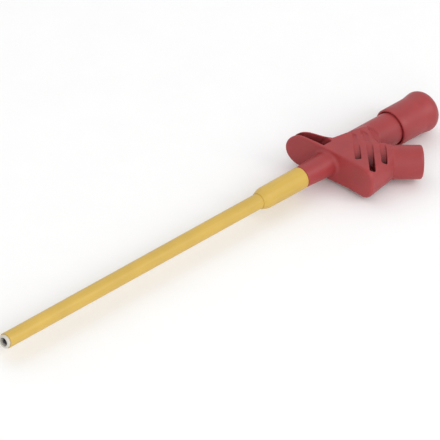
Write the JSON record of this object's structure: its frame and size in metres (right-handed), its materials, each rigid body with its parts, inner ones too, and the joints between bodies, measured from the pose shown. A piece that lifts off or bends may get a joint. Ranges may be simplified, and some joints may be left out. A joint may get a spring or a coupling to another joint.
{
  "type": "insulated test clip",
  "caption": "Long-reach insulated test clip: slim yellow tube with pincer jaws, red winged grip with an angled safety socket, sprung thumb cap.",
  "frame": {"origin": "centre of the tube's mouth, where the jaws come out", "axes": "+X along the tube towards the thumb cap, the socket outlet leans to -Y, Z is normal to the plane of the wings"},
  "size_m": [0.1864, 0.0363, 0.013],
  "materials": {
    "red_plastic": "satin moulded",
    "yellow_plastic": "satin extruded",
    "white_plastic": "satin extruded",
    "black_plastic": "matt",
    "brass": "turned",
    "nickel": "nickel plated",
    "spring_steel": "drawn and hardened"
  },
  "bodies": {
    "grip": {"housing": "red_plastic", "insulating_tube": "yellow_plastic", "liner_tube": "white_plastic", "root_sleeve": "yellow_plastic", "rod_guide": "white_plastic", "block_washer": "black_plastic", "contact_block": "brass", "contact_cage": "brass", "socket_sleeve": "nickel", "tail_washer": "spring_steel", "socket_insulator": "black_plastic", "spring_seat": "spring_steel", "return_spring": "spring_steel", "guide_ring": "black_plastic"},
    "plunger": {"thumb_cap": "red_plastic", "push_rod": "spring_steel", "stop_ring": "spring_steel", "thrust_washer": "spring_steel", "cap_insert": "brass", "jaw_carrier": "brass", "jaw_pins": "spring_steel"},
    "left_jaw": {"jaw_left": "spring_steel"},
    "right_jaw": {"jaw_right": "spring_steel"}
  },
  "joints": [
    {"name": "plunger_slide", "type": "slide", "parent": "grip", "child": "plunger", "axis": [-1, 0, 0], "range_m": [0, 0.008], "stiffness_N_per_m": 300, "springref_m": -0.006, "deforming": ["return_spring"]},
    {"name": "left_jaw_hinge", "type": "hinge", "parent": "plunger", "child": "left_jaw", "pos_m": [0.01135, 0.00048, 0], "axis": [0, 0, -1], "range_deg": [0, 9]},
    {"name": "right_jaw_hinge", "type": "hinge", "parent": "plunger", "child": "right_jaw", "pos_m": [0.01135, -0.00048, 0], "axis": [0, 0, 1], "range_deg": [0, 9]}
  ],
  "couplings": [
    {"joint": "left_jaw_hinge", "follows": "plunger_slide", "rad_per_m": 19.635},
    {"joint": "right_jaw_hinge", "follows": "plunger_slide", "rad_per_m": 19.635}
  ]
}
